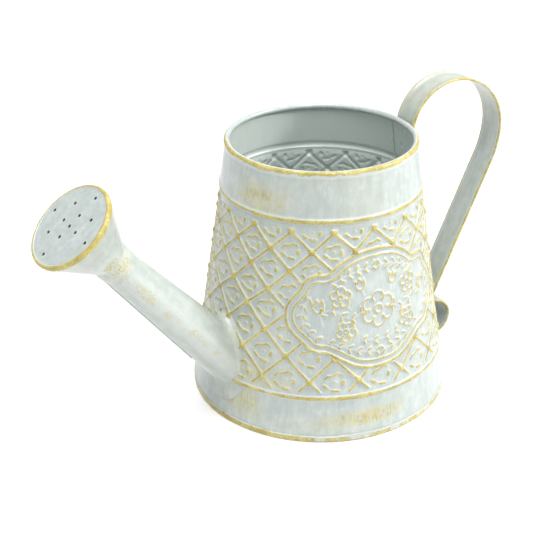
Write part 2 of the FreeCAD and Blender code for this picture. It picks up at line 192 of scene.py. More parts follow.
class Finish:
    """One material and the nodes in it."""

    def __init__(self, name):
        self.material = bpy.data.materials.new(name)
        self.material.use_nodes = True
        self.tree = self.material.node_tree
        self.tree.nodes.clear()

    def node(self, kind, inputs=(), output=0, **settings):
        """Add a node: its settings first, then the values or wires of its sockets."""
        made = self.tree.nodes.new(kind)
        for key, value in settings.items():
            setattr(made, key, value)
        for key, value in dict(inputs).items():
            if isinstance(value, Wire):
                self.tree.links.new(value.socket, made.inputs[key])
            else:
                made.inputs[key].default_value = value
        return Wire(self, made.outputs[output])

    def colour_mix(self, share, first, second):
        """A colour between two colours."""
        def colour(value):
            return value if isinstance(value, Wire) else (*value, 1.0)
        sockets = {0: share, 6: colour(first), 7: colour(second)}
        return self.node("ShaderNodeMix", sockets, output=2, data_type="RGBA")

    def placed(self, turn=(0, 0, 0), stretch=(1, 1, 1)):
        """The piece's own coordinates, turned and then stretched."""
        where = self.node("ShaderNodeTexCoord", output="Object")
        turned = self.node("ShaderNodeMapping", {"Vector": where, "Rotation": turn})
        return self.node("ShaderNodeMapping", {"Vector": turned, "Scale": stretch})

    def noise(self, vector, scale, detail=3.0, roughness=0.5):
        sockets = {"Vector": vector, "Scale": scale, "Detail": detail, "Roughness": roughness}
        return self.node("ShaderNodeTexNoise", sockets)

    def painted(self, name):
        """A value painted on the mesh by the script."""
        return self.node("ShaderNodeAttribute", output="Fac", attribute_name=name)

    def surface(self, colour, roughness, height, depth, **uniform):
        """The shader: colour and roughness, with a bump from a height."""
        bump = self.node("ShaderNodeBump", {"Height": height, "Strength": 1.0, "Distance": depth})
        sockets = {"Base Color": colour, "Roughness": roughness, "Normal": bump}
        sockets.update({key.replace("_", " "): value for key, value in uniform.items()})
        shader = self.node("ShaderNodeBsdfPrincipled", sockets)
        self.node_output(shader)
        return self.material

    def node_output(self, shader):
        end = self.tree.nodes.new("ShaderNodeOutputMaterial")
        self.tree.links.new(shader.socket, end.inputs["Surface"])


def whitewash(name, turn=(0, 0, 0), grain=(1, 1, 0.1), loose_rub=0.0, edge=None, hole_shade=None):
    """Whitewashed sheet with gold rubbed on its raised edges and dragged over it with a dry brush.

    grain is how fine the brush marks are along each axis of the turned piece. edge gives a mask
    of the rubbed edges for a piece that has none painted on its mesh, and the last argument a
    mask where the colour is painted near black as shade, in the rose's holes. A pale painted
    highlight runs beside the rubbed edges, and the inner face takes a lighter wash as painted light.
    """
    finish = Finish(name)
    where = finish.placed(turn)
    combed = finish.placed(turn, grain)
    broad = finish.noise(where, CLOUDS, 2.0)
    mottled = finish.noise(where, MOTTLE, 4.0, 0.6)
    fine = finish.noise(where, FLECKS, 3.0, 0.6)
    streaks = finish.noise(combed, BRUSH_HAIRS, 3.0, 0.55)
    long_streaks = finish.noise(combed, BRUSH_STROKES, 2.0, 0.5)
    rub = finish.painted("rub") if edge is None else edge(finish)
    brush = finish.painted("brush")
    inside = finish.painted("inside")

    worn_edge = (rub + (fine - 0.5) * 0.6 + (mottled - 0.5) * 0.9).ramp(0.46, 0.80)
    patches = (broad * 0.5 + brush + loose_rub).ramp(0.30, 1.1)
    dragged = (streaks + patches * 0.11).ramp(0.565, 0.70) * patches
    specks = (fine + brush * 0.03 + loose_rub * 0.1).ramp(0.66, 0.76) * 0.5
    gold = worn_edge.most(dragged * 0.75).most(specks) * (1 - inside * 0.8)

    tone = (mottled * 0.5 + long_streaks * 0.5).ramp(0.30, 0.72)
    paint = finish.colour_mix(tone, WASH_DARK, WASH)
    # Painted highlight: a pale halo beside the gold-rubbed ridges, where light catches their flanks.
    painted_ridge_highlight = (rub * 3.0).least(1.0) * (1 - worn_edge) * 0.35
    scuffs = (streaks * 0.5 + mottled * 0.5).ramp(0.52, 0.66) * 0.22
    paint = finish.colour_mix(painted_ridge_highlight.most(scuffs), paint, WASH_SCUFF_AND_HIGHLIGHT)
    haze = (patches * (0.4 + mottled)).least(1.0) * 0.42
    paint = finish.colour_mix(haze, paint, RUB_HAZE)
    # Painted light: the inner face takes a lighter wash than the outside.
    paint = finish.colour_mix(inside, paint, INSIDE_LIT_WASH)
    gold_tone = finish.colour_mix(mottled.ramp(0.35, 0.65), RUB, RUB_LIGHT)
    gold_tone = finish.colour_mix(fine.ramp(0.5, 0.75) * rub, gold_tone, RUB_DARK)
    colour = finish.colour_mix(gold, paint, gold_tone)
    # Painted shade: where this mask is set, the colour goes near black.
    if hole_shade is not None:
        colour = finish.colour_mix(hole_shade(finish), colour, UNLIT)
    roughness = 0.33 + gold * 0.17 + (mottled - 0.5) * 0.16 + (fine - 0.5) * 0.10
    height = streaks * 0.35 + mottled * 0.4 + fine * 0.2 + gold * 0.25
    return finish.surface(colour, roughness, height, PAINT_DEPTH, Coat_Weight=0.25,
                          Coat_Roughness=0.2)


def solder(name):
    """Soft solder under a thin wash: dull, lumpy and a little mottled."""
    finish = Finish(name)
    where = finish.placed()
    lumps = finish.noise(where, 260.0, 3.0)
    fine = finish.noise(where, 1600.0, 3.0)
    colour = finish.colour_mix(lumps.ramp(0.35, 0.68), SOLDER_DARK, SOLDER_LIGHT)
    roughness = 0.45 + (fine - 0.5) * 0.3
    return finish.surface(colour, roughness, lumps + fine * 0.3, LUMP_DEPTH, Metallic=0.0)


def sealing_paste(name):
    """Cured sealant in the corner of the bottom."""
    finish = Finish(name)
    where = finish.placed()
    lumps = finish.noise(where, 180.0, 3.0)
    fine = finish.noise(where, 1300.0, 2.0)
    colour = finish.colour_mix(lumps.ramp(0.3, 0.7), SEALANT_DARK, SEALANT_LIGHT)
    return finish.surface(colour, 0.5 + fine * 0.2, lumps + fine * 0.2, LUMP_DEPTH)


# ---------------------------------------------------------------- mesh helpers

def arc_run(start, end, radius, left, count):
    """Points after start on the short arc to end; left means that the run turns left."""
    a = Vector(start)
    b = Vector(end)
    chord = b - a
    rise = math.sqrt(max(radius ** 2 - (chord.length / 2) ** 2, 0.0))
    across = Vector((-chord.y, chord.x)).normalized()
    centre = (a + b) / 2 + across * (rise if left else -rise)
    first = math.atan2(a.y - centre.y, a.x - centre.x)
    turn = 2 * math.asin(min(chord.length / 2 / radius, 1.0)) * (1 if left else -1)
    angles = [first + turn * step / count for step in range(1, count + 1)]
    return [(centre.x + radius * math.cos(t), centre.y + radius * math.sin(t)) for t in angles]


def line_run(start, end, count):
    """Points after start on the straight line to end."""
    return [(start[0] + (end[0] - start[0]) * step / count,
             start[1] + (end[1] - start[1]) * step / count) for step in range(1, count + 1)]


def thick(outer):
    """A closed profile: the outer face's run and the same run one sheet further in."""
    return outer + [(radius - SHEET, height) for radius, height in reversed(outer)]


FINER = 10
TOUCHING = 0.0005  # points closer than this are one point
ON_AXIS = 0.01
SHARP_EDGE = 50.0


def turned(profile, steps, start=0.0, sweep=360.0):
    """A closed profile of (radius, height) turned about the Z axis.

    It is spun in a tenth of the steps, each of which is then cut into ten and made round again,
    because a spin slows down as its mesh grows.
    """
    made = bmesh.new()
    corners = [made.verts.new((radius, 0, height)) for radius, height in profile]
    edges = [made.edges.new((corners[number - 1], corners[number]))
             for number in range(len(corners))]
    bmesh.ops.rotate(made, verts=made.verts[:], cent=(0, 0, 0),
                     matrix=Matrix.Rotation(math.radians(start), 3, "Z"))
    whole = sweep == 360.0
    step = sweep * FINER / steps
    bmesh.ops.spin(made, geom=corners + edges, cent=(0, 0, 0), axis=(0, 0, 1),
                   angle=math.radians(sweep), steps=steps // FINER, use_merge=whole)
    if whole:
        bmesh.ops.remove_doubles(made, verts=made.verts[:], dist=TOUCHING)
    azimuth, radius, height = polar(places(made))
    turns = np.round((azimuth - start) / step, 3) % round(360 / step, 3)
    rings = dict(zip(made.verts, np.where(radius < ON_AXIS, -1.0, turns)))
    along = []
    for edge in made.edges:
        first, last = (rings[vert] for vert in edge.verts)
        if first != last and min(first, last) >= 0:
            along.append(edge)
    bmesh.ops.subdivide_edges(made, edges=along, cuts=FINER - 1, use_grid_fill=True)
    points = places(made)
    azimuth, radius, height = polar(points)
    past = (azimuth - start) % step - step / 2
    share = np.cos(np.radians(past)) / math.cos(math.radians(step / 2))
    points[:, 0] *= share
    points[:, 1] *= share
    put(made, points)
    close_and_face_outwards(made)
    return made


def close_and_face_outwards(made):
    """Fill the open ends and turn the faces outwards."""
    ends = [edge for edge in made.edges if edge.is_boundary]
    if ends:
        bmesh.ops.holes_fill(made, edges=ends, sides=0)
    bmesh.ops.recalc_face_normals(made, faces=made.faces[:])
    if made.calc_volume(signed=True) < 0:
        bmesh.ops.reverse_faces(made, faces=made.faces[:])


def places(made):
    """The mesh's points as an array."""
    return np.array([vert.co for vert in made.verts])


def put(made, points):
    """Move the mesh's points."""
    for vert, point in zip(made.verts, points):
        vert.co = point


def polar(points):
    """Azimuth in degrees from 0 to 360, radius and height of each point."""
    azimuth = np.degrees(np.arctan2(points[:, 1], points[:, 0])) % 360
    return azimuth, np.hypot(points[:, 0], points[:, 1]), points[:, 2]


def push_out(made, amount):
    """Move each point away from the Z axis."""
    points = places(made)
    azimuth, radius, height = polar(points)
    share = (radius + amount) / np.maximum(radius, 0.001)
    points[:, 0] *= share
    points[:, 1] *= share
    put(made, points)


def hump(distance, half):
    """1 at distance 0, smoothly down to 0 at half."""
    inside = np.clip(1 - (distance / half) ** 2, 0, 1)
    return inside ** 2


def near(azimuth, middle, half):
    """A soft patch round an azimuth."""
    return hump((azimuth - middle + 180) % 360 - 180, half)


def wander(angle, seed):
    """An uneven wave round the can, between -1 and 1."""
    turns = np.radians(angle)
    waves = ((5, 0.30), (13, 0.24), (29, 0.20), (47, 0.14), (83, 0.12))
    total = 0.0
    for number, (count, share) in enumerate(waves):
        total = total + share * np.sin(count * turns + seed * (number + 1.7) * 2.3)
    return total


def finish_piece(name, made, material, slot, stands_for=(), **paints):
    """Turn a mesh in millimetres into a piece of the can."""
    bmesh.ops.scale(made, vec=(MM, MM, MM), verts=made.verts[:])
    data = bpy.data.meshes.new(name)
    made.to_mesh(data)
    made.free()
    data.shade_smooth()
    data.set_sharp_from_angle(angle=math.radians(SHARP_EDGE))
    for key, values in paints.items():
        layer = data.attributes.new(key, "FLOAT", "POINT")
        layer.data.foreach_set("value", np.asarray(values, np.float32))
    data.materials.append(material)
    piece = bpy.data.objects.new(name, data)
    bpy.context.scene.collection.objects.link(piece)
    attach(piece, "root")
    if stands_for:
        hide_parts(*stands_for)
    return piece


# ---------------------------------------------------------------- embossing

def smooth_loop(corners, parts):
    """A closed curve through the corners."""
    points = np.array(corners, float)
    before = np.roll(points, 1, 0)
    after = np.roll(points, -1, 0)
    later = np.roll(points, -2, 0)
    share = (np.arange(parts) / parts)[:, None, None]
    curve = 0.5 * (2 * points + (after - before) * share
                   + (2 * before - 5 * points + 4 * after - later) * share ** 2
                   + (3 * points - before - 3 * after + later) * share ** 3)
    return curve.transpose(1, 0, 2).reshape(-1, 2)


def cartouche_outline():
    """The cartouche on the flattened panel, front at zero."""
    right = CARTOUCHE_HALF[:-1]
    left = [(-angle, height) for angle, height in reversed(CARTOUCHE_HALF[1:])]
    loop = smooth_loop(right + left, 5)
    loop[:, 0] = np.radians(loop[:, 0]) * FLAT_RADIUS
    return loop


def stroke_distance(across, up, starts, ends):
    """How far each point is from the nearest of many straight strokes."""
    best = np.full(len(across), 1e3)
    for (ax, ay), (bx, by) in zip(starts, ends):
        wx = bx - ax
        wy = by - ay
        length = max(wx * wx + wy * wy, 1e-9)
        along = np.clip(((across - ax) * wx + (up - ay) * wy) / length, 0, 1)
        best = np.minimum(best, np.hypot(across - ax - along * wx, up - ay - along * wy))
    return best


def signed_distance(across, up, loop):
    """Distance to a closed loop, negative inside it."""
    ends = np.roll(loop, -1, 0)
    distance = stroke_distance(across, up, loop, ends)
    inside = np.zeros(len(across), bool)
    for (ax, ay), (bx, by) in zip(loop, ends):
        if ay != by:
            crosses = ((ay > up) != (by > up)) & (across < (bx - ax) * (up - ay) / (by - ay) + ax)
            inside ^= crosses
    return np.where(inside, -distance, distance)


def lattice_places(azimuth, radius, height):
    """Where each point is in the lattice: column and row counts, and their sizes in millimetres."""
    column = ((azimuth - FRONT + 180) % 360 - 180) / COLUMN
    heights = ROW_HEIGHTS[::-1]
    rows = np.arange(len(heights))[::-1].astype(float)
    row = np.interp(height, heights, rows)
    low_step = heights[1] - heights[0]
    high_step = heights[-1] - heights[-2]
    row = np.where(height < heights[0], rows[0] + (heights[0] - height) / low_step, row)
    row = np.where(height > heights[-1], (heights[-1] - height) / high_step, row)
    width = radius * math.radians(COLUMN)
    steps = -np.diff(ROW_HEIGHTS)
    middles = np.array(ROW_HEIGHTS[:-1]) - steps / 2
    tall = np.interp(height, middles[::-1], steps[::-1])
    return column, row, width, tall


ROSETTE = [  # stroke start, stroke end, half width in millimetres, share of the height
    ((-0.41, 0.13), (-0.28, 0.25), 0.95, 0.9), ((-0.28, 0.25), (-0.13, 0.26), 1.0, 1.0),
    ((-0.13, 0.26), (0.03, 0.31), 0.9, 0.85), ((0.03, 0.31), (0.14, 0.37), 1.0, 1.0),
    ((0.14, 0.37), (0.29, 0.30), 0.95, 1.0), ((0.34, -0.09), (0.36, 0.01), 1.35, 1.25),
    ((-0.42, -0.15), (-0.29, -0.25), 1.15, 1.05), ((-0.29, -0.25), (-0.08, -0.36), 0.8, 0.6),
    ((-0.06, -0.36), (0.16, -0.38), 1.1, 1.05), ((0.0, 0.01), (0.02, 0.0), 0.95, 0.7)]


def rosettes(column, row, width, tall):
    """The small flower in each diamond."""
    a = column - row / 2
    b = column + row / 2
    ca = np.floor(a) + 0.5
    cb = np.floor(b) + 0.5
    across = (column - (ca + cb) / 2) * width
    up = -(row - (cb - ca)) * tall
    relief = np.zeros(len(column))
    for (ax, ay), (bx, by), half, share in ROSETTE:
        sx = width / 2
        wx = (bx - ax) * sx
        wy = (by - ay) * tall
        px = across - ax * sx
        py = up - ay * tall
        along = np.clip((px * wx + py * wy) / (wx * wx + wy * wy), 0, 1)
        distance = np.hypot(px - along * wx, py - along * wy)
        relief = np.maximum(relief, share * hump(distance, half))
    return relief * ROSETTE_HEIGHT


def lattice(azimuth, radius, height):
    """Height of the lattice's ridges, bosses and rosettes over the panel, and their gold rub."""
    column, row, width, tall = lattice_places(azimuth, radius, height)
    a = column - row / 2
    b = column + row / 2
    slope = np.sqrt(1 / width ** 2 + 1 / (4 * tall ** 2))
    to_line = np.minimum(abs(a - np.round(a)), abs(b - np.round(b))) / slope
    node_column = (np.round(a) + np.round(b)) / 2
    node_row = np.round(b) - np.round(a)
    across = abs(column - node_column) * width
    up = abs(row - node_row) * tall
    to_node = np.maximum(np.hypot(across, up) * 0.85, np.maximum(across, up))
    above = np.clip((height - ROW_HEIGHTS[0] + 0.6) / 1.2, 0, 1)
    below = np.clip((height - PANEL_LOW - 0.3) / 0.9, 0, 1)
    ridges = RIDGE_HEIGHT * hump(to_line, RIDGE_HALF) * (1 - above)
    real_node = (node_row >= 0) & (node_row <= 7)
    bosses = np.where(real_node, BOSS_HEIGHT * np.minimum(1.3 * hump(to_node, BOSS_HALF), 1), 0)
    flowers = rosettes(column, row, width, tall)
    flowers *= np.clip((106.0 - height) / 0.8, 0, 1) * below
    crests = np.maximum(ridges, bosses) * below
    rub = np.maximum(np.clip(crests / 0.72, 0, 1.1) ** 1.6, np.clip(flowers / 0.40, 0, 1.1) ** 1.5)
    return np.maximum(crests, flowers), rub


LEAF_SPREAD = 48
LEAF_GAP = 0.9  # from the stem to the leaf


def leaf_pair(x, y, heading, reach):
    """Two leaves that leave a stem at a point, as strokes."""
    strokes = []
    for side in (-1, 1):
        angle = math.radians(heading + side * LEAF_SPREAD)
        start = (x + LEAF_GAP * math.cos(angle), y + LEAF_GAP * math.sin(angle))
        end = (x + reach * math.cos(angle), y + reach * math.sin(angle))
        strokes.append((start, end))
    return strokes


def sprig(points, leaves, reach):
    """A curved stem with pairs of leaves along it: the stem's strokes and the leaves' strokes."""
    path = np.array(points, float)
    lengths = np.hypot(*np.diff(path, axis=0).T)
    along = np.concatenate([[0], np.cumsum(lengths)])

    def at(distance):
        return (np.interp(distance, along, path[:, 0]), np.interp(distance, along, path[:, 1]))

    dots = [at(distance) for distance in np.linspace(0, along[-1], 4 * leaves)]
    blades = []
    for stop in np.linspace(0.02, 0.98, leaves) * along[-1]:
        x1, y1 = at(stop - 0.4)
        x2, y2 = at(stop + 0.4)
        heading = math.degrees(math.atan2(y2 - y1, x2 - x1))
        blades += leaf_pair(*at(stop), heading, reach)
    return list(zip(dots[:-1], dots[1:])), blades


def blossom(x, y, petals, reach, turn):
    """The outline of an open flower, as strokes: round petals and a middle ring."""
    strokes = []
    size = reach * math.sin(math.pi / petals) / (1 + math.sin(math.pi / petals)) * 1.08
    centre_reach = reach - size
    for number in range(petals):
        middle = math.radians(turn + 360 / petals * number)
        px = x + centre_reach * math.cos(middle)
        py = y + centre_reach * math.sin(middle)
        span = [middle + math.radians(angle) for angle in range(-125, 126, 25)]
        dots = [(px + size * math.cos(t), py + size * math.sin(t)) for t in span]
        strokes += list(zip(dots[:-1], dots[1:]))
    ring = [math.radians(45 * number) for number in range(9)]
    dots = [(x + 0.24 * reach * math.cos(t), y + 0.24 * reach * math.sin(t)) for t in ring]
    return strokes + list(zip(dots[:-1], dots[1:]))


def tulip(x, y, tall, lean):
    """A tulip's outline, as strokes."""
    outline = [(0, 0), (-0.30, 0.12), (-0.42, 0.40), (-0.40, 0.85), (-0.20, 0.62), (0, 0.95),
               (0.20, 0.62), (0.40, 0.85), (0.42, 0.40), (0.30, 0.12), (0, 0)]
    c = math.cos(math.radians(lean))
    s = math.sin(math.radians(lean))
    dots = [(x + tall * (u * c - v * s), y + tall * (u * s + v * c)) for u, v in outline]
    return list(zip(dots[:-1], dots[1:]))


def wave(start, end, middle, swing, humps, count=24):
    """Points along a wavy stem."""
    return [(start + (end - start) * n / count,
             middle + swing * math.sin(math.pi * humps * n / count)) for n in range(count + 1)]


def garland():
    """The planting inside the cartouche: outline strokes, stem strokes and leaf strokes."""
    thin = []
    stems = []
    leaves = []
    runs = [
        ([(-24, 80.0), (-17, 83.6), (-9, 86.0), (-2, 86.8)], 6, 2.7),
        ([(24, 80.0), (17, 83.6), (9, 86.0), (2, 86.8)], 6, 2.7),
        ([(-33.5, 74), (-36.6, 69), (-37.4, 63.5), (-35, 58), (-30, 53.6)], 6, 2.5),
        ([(33.5, 74), (36.6, 69), (37.4, 63.5), (35, 58), (30, 53.6)], 6, 2.5),
        ([(-25, 51.6), (-18, 49.0), (-10, 45.8), (-2, 44.4)], 6, 2.6),
        ([(25, 51.6), (18, 49.0), (10, 45.8), (2, 44.4)], 6, 2.6),
        (wave(-29, -9, 65.2, 2.4, 2), 5, 2.9),
        (wave(29, 9, 65.2, 2.4, 2), 5, 2.9),
        (wave(-9, 9, 51.6, -1.6, 1, 12), 4, 2.3),
    ]  # points along the stem, pairs of leaves, length of a leaf
    for points, count, reach in runs:
        stalk, blades = sprig(points, count, reach)
        stems += stalk
        leaves += blades
    thin += blossom(0, 65.5, 6, 8.8, 30)
    for side in (-1, 1):
        thin += blossom(side * 19.0, 73.6, 5, 5.2, 90)
        thin += blossom(side * 16.5, 56.6, 5, 4.9, 270)
        thin += tulip(side * 29.0, 66.5, 6.6, side * -14)
        thin += tulip(side * 8.6, 76.4, 5.6, side * -12)
        stems += [((side * 27.6, 60.0), (side * 29.0, 66.4))]
        stems += [((side * 7.2, 73.4), (side * 8.6, 76.4))]
        stems += [((side * 14.0, 67.0), (side * 16.6, 69.6))]
        stems += [((side * 20.0, 63.4), (side * 17.6, 60.8))]
    return thin, stems, leaves


def panel_relief(azimuth, radius, height):
    """Height of all embossing over the panel, and how much gold rub each point takes."""
    relief, rub = lattice(azimuth, radius, height)
    angle = (azimuth - FRONT + 180) % 360 - 180
    across = np.radians(angle) * FLAT_RADIUS
    close = (abs(angle) < 52) & (height > 30) & (height < 101)
    thin, stems, leaves = garland()
    x = across[close]
    z = height[close]
    gap = signed_distance(x, z, cartouche_outline())
    ridge = 0.95 * hump(gap + 0.2, 1.2)
    inner = 0.75 * hump(gap + 3.4, 1.1)
    outside = np.clip((gap - 0.4) / 0.8, 0, 1)
    here = relief[close] * outside
    inside = gap < -4.6
    motif = np.zeros(len(x))
    for strokes, tall, half in ((thin, 0.72, 1.0), (stems, 0.35, 0.8), (leaves, 0.78, 1.15)):
        reach = stroke_distance(x[inside], z[inside], *zip(*strokes))
        motif[inside] = np.maximum(motif[inside], tall * hump(reach, half))
    crests = np.maximum(np.maximum(ridge, inner), np.maximum(here, motif))
    swell = 0.3 * np.clip((-gap - 4.0) / 3.0, 0, 1)
    relief[close] = crests + swell
    rub[close] = np.maximum(np.clip(crests / 0.72, 0, 1.1) ** 1.6, rub[close] * outside)
    return relief, rub


# ---------------------------------------------------------------- the wall

def panel_face(height):
    """The panel's outer radius at a height."""
    slope = (HIGH_BEAD[0][0] - LOW_BEAD[1][0]) / (HIGH_BEAD[0][1] - LOW_BEAD[1][1])
    return LOW_BEAD[1][0] + slope * (height - LOW_BEAD[1][1])


def beside_root(azimuth, radius, height):
    """0 under the solder of the spout's root, and 1 from a few millimetres beside it."""
    low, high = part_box("spout_root_solder")
    middle = (low + high) / 2 / MM
    half = (high - low) / 2 / MM
    turn = azimuth - math.degrees(math.atan2(middle.y, middle.x))
    across = np.radians((turn + 180) % 360 - 180) * radius
    reach = np.hypot(across / half.y, (height - middle.z) / half.z)
    return np.clip((reach - 0.95) / 0.35, 0, 1)


def panel_sector(name, start):
    """One upright third of the embossed panel."""
    foot = (panel_face(PANEL_LOW), PANEL_LOW)
    head = (panel_face(PANEL_HIGH), PANEL_HIGH)
    profile = thick([foot] + line_run(foot, head, SECTOR_ROWS))
    made = turned(profile, SECTOR_COLUMNS, start, SECTOR_TURN)
    azimuth, radius, height = polar(places(made))
    face = panel_face(height)
    inner = radius < face - SHEET / 2
    relief, rub = panel_relief(azimuth, face, height)
    ground = np.clip((height - PANEL_LOW) / 2.0, 0, 1) * np.clip((PANEL_HIGH - height) / 2.0, 0, 1)
    ground = ground * beside_root(azimuth, face, height)
    push_out(made, relief - PRESSED_BACK * ground + 0.05 * wander(azimuth * 2 + height * 3, 4.0))
    rub = np.where(inner, 0.0, rub)
    brush = 0.25 * near(azimuth, 205, 40) + 0.35 * near(azimuth, 212, 24) * hump(height - 28, 16)
    return finish_piece(name, made, PAINT, "wall_paint", ["body_wall"],
                        rub=rub, brush=brush, inside=inner.astype(float))


# Heights and the radii there: between the skirt's two faces, and at the band's outer face.
SKIRT_MIDDLE = ((0, 4.4, 10, 16, 21.5, 23.0, 24.6, 26),
                (65.0, 65.0, 63.4, 62.6, 62.1, 62.6, 61.9, 61.7))
BAND_FACE = ((107, 108.4, 110, 111.6, 129.5), (49.6, 49.4, 50.1, 49.4, 46.75))
LOW_CREST = 23.05
HIGH_CREST = 110


def make_skirt():
    """The flared skirt and the lower bead."""
    joint = (panel_face(PANEL_LOW), PANEL_LOW)
    outer = [SKIRT_FOOT] + line_run(SKIRT_FOOT, SKIRT_HEM, 3)
    outer += arc_run(SKIRT_HEM, LOW_BEAD[0], FLARE, False, 22)
    outer += arc_run(LOW_BEAD[0], LOW_BEAD[1], BEAD_ROUND, True, 12)
    outer += line_run(LOW_BEAD[1], joint, 2)
    made = turned(thick(outer), PLAIN_COLUMNS)
    azimuth, radius, height = polar(places(made))
    inner = radius < np.interp(height, *SKIRT_MIDDLE)
    push_out(made, 0.10 * wander(azimuth, 1.0) * np.clip(height / 12, 0, 1))
    bead = hump(height - LOW_CREST - 0.15 * wander(azimuth * 3, 2.0), 2.1)
    rub = np.where(inner, 0.0, bead * (1.0 + 0.35 * wander(azimuth, 6.0)))
    brush = near(azimuth, 262, 30) * hump(height - 11.5, 7.0) * 0.9
    brush = brush + 0.8 * near(azimuth, 204, 18) * hump(height - 17, 14)
    brush = brush + 0.35 * near(azimuth, 235, 60) * hump(height - 8, 9)
    return finish_piece("wall_skirt", made, PAINT, "wall_paint", ["body_wall"],
                        rub=rub, brush=brush, inside=inner.astype(float))


WELDS = ((-2.2, 128.0), (6.2, 127.0), (1.8, 119.0), (10.5, 117.0))  # azimuths and heights
WELD_RADIUS = 47.5


def weld_dents(azimuth, height):
    """The dents that the handle's spot welds leave inside the band."""
    total = 0.0
    for angle, level in WELDS:
        across = ((azimuth - angle + 180) % 360 - 180) * math.radians(WELD_RADIUS)
        distance = np.hypot(across, height - level)
        total = total + 0.45 * hump(distance, 1.9) - 0.22 * hump(distance - 2.2, 0.9)
    return total


def make_upper_band():
    """The upper bead, the plain band and the rolled rim."""
    joint = (panel_face(PANEL_HIGH), PANEL_HIGH)
    outer = [joint] + line_run(joint, HIGH_BEAD[0], 2)
    outer += arc_run(HIGH_BEAD[0], HIGH_BEAD[1], BEAD_ROUND, True, 12)
    outer += line_run(HIGH_BEAD[1], BAND_TOP, 18)
    steps = 20
    angles = [math.radians(ROLL_END * number / steps) for number in range(steps + 1)]
    def roll(radius):
        return [(ROLL_CENTRE[0] + radius * math.cos(angle), ROLL_CENTRE[1] + radius * math.sin(angle))
                for angle in angles]
    inner = [(radius - SHEET, height) for radius, height in reversed(outer)]
    profile = outer + roll(ROLL) + roll(ROLL - SHEET)[::-1] + inner
    made = turned(profile, BAND_COLUMNS)
    azimuth, radius, height = polar(places(made))
    face = np.interp(height, *BAND_FACE)
    inside = (radius < face - SHEET / 2) & (height < 130.0)
    on_roll = height > 130.2
    dents = weld_dents(azimuth, height) * inside
    push_out(made, dents + 0.10 * wander(azimuth, 3.0) * (1 - on_roll) * hump(height - 120, 12))
    bead = hump(height - HIGH_CREST - 0.12 * wander(azimuth * 3, 5.0), 2.0)
    around = np.degrees(np.arctan2(height - ROLL_CENTRE[1], radius - ROLL_CENTRE[0]))
    rim = on_roll * hump(around - 36 - 9 * wander(azimuth, 4.5), 80)
    rim = rim * (1.12 + 0.45 * wander(azimuth * 2, 2.5)) * (1 - 0.72 * near(azimuth, 62, 95))
    rub = np.where(inside, 0.0, np.maximum(bead * (1.0 + 0.35 * wander(azimuth, 8.0)), rim))
    brush = near(azimuth, 203, 30) * hump(height - 118, 12) * 0.75 + 0.30 * near(azimuth, 250, 70)
    return finish_piece("wall_band_and_rim", made, PAINT, "wall_paint", ["body_wall"],
                        rub=rub, brush=brush, inside=inside.astype(float))


BOTTOM_LOW = 2.4
BOTTOM_HIGH = 3.0
HEM_WIDTH = 1.8


def make_foot():
    """The recessed bottom and the uneven hem that is folded round the foot."""
    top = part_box("base_pan")[1].z / MM
    r = FOOT_RADIUS
    profile = [(0, BOTTOM_LOW)] + line_run((0, BOTTOM_LOW), (r - 1.9, BOTTOM_LOW), 10)
    profile += [(r - HEM_WIDTH, 2.2)] + line_run((r - HEM_WIDTH, 2.2), (r - HEM_WIDTH, 0.1), 3)
    profile += [(r - 1.6, 0.0), (r - 0.5, 0.0)]
    profile += arc_run((r - 0.5, 0.0), (r, 0.5), 0.5, True, 4)
    profile += line_run((r, 0.5), (r, top - 0.7), 8)
    profile += arc_run((r, top - 0.7), (r - SHEET, top - 0.15), 0.62, True, 5)
    profile += [(r - SHEET, SHEET), (r - 2 * SHEET, SHEET), (r - 2 * SHEET, BOTTOM_HIGH)]
    profile += line_run((r - 2 * SHEET, BOTTOM_HIGH), (0, BOTTOM_HIGH), 10)
    made = turned(profile, PLAIN_COLUMNS)
    points = places(made)
    azimuth, radius, height = polar(points)
    lip = np.clip((height - 1.2) / 2.0, 0, 1) * (radius > r - 0.8)
    points[:, 2] += lip * (0.42 * wander(azimuth, 9.0) - 0.35)
    put(made, points)
    outside = (radius > r - 0.75) & (height > 0.02)
    push_out(made, np.where(outside, 0.10 * wander(azimuth * 2, 3.3) - 0.10, 0.0))
    edge = np.clip((height - 2.6) / 0.9, 0, 1)
    strong = 0.62 + 0.5 * near(azimuth, 195, 60) + 0.25 * near(azimuth, 320, 40)
    strong = strong - 0.8 * edge + 0.5 * np.clip((1.1 - height) / 0.8, 0, 1)
    rub = np.where(radius > r - 1.0, strong + 0.45 * wander(azimuth * 4, 7.0), 0.0)
    inside = (radius < r - 1.5) & (height > 2.7)
    return finish_piece("foot_and_bottom", made, FOOT_PAINT, "foot_paint", ["base_pan"],
                        rub=rub, brush=0.3 + 0 * rub, inside=inside.astype(float))


# ---------------------------------------------------------------- the spout and rose

SPOUT_TURN = 189.0
SPOUT_LEAN = 40.0
FACE_RISE = 1.15  # from the middle of the rose's disc to its face
NECK_RADIUS = 8.65  # of the spout, where the rose's collar starts
NECK_DEPTH = 26.5
SPOUT_TAPER = 0.039
NECK_COLUMNS = 120
SPOUT_ROTATION = Euler((0, math.radians(SPOUT_LEAN), math.radians(SPOUT_TURN)), "XYZ")


def spout_frame():
    """The spout's own frame, in millimetres: Z outwards along its axis, zero at the rose's face."""
    low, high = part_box("rose_face")
    axis = SPOUT_ROTATION.to_matrix() @ Vector((0, 0, 1))
    middle = (low + high) / 2 / MM + axis * FACE_RISE
    return Matrix.Translation(middle) @ SPOUT_ROTATION.to_matrix().to_4x4()


# Where gold has gathered round the rose's neck, in degrees about the spout's axis.
NECK_BLOTCH = 90.0


def spout_radius(distance):
    """The spout's outer radius at a distance below the rose's face."""
    return NECK_RADIUS + (distance - NECK_DEPTH) * SPOUT_TAPER


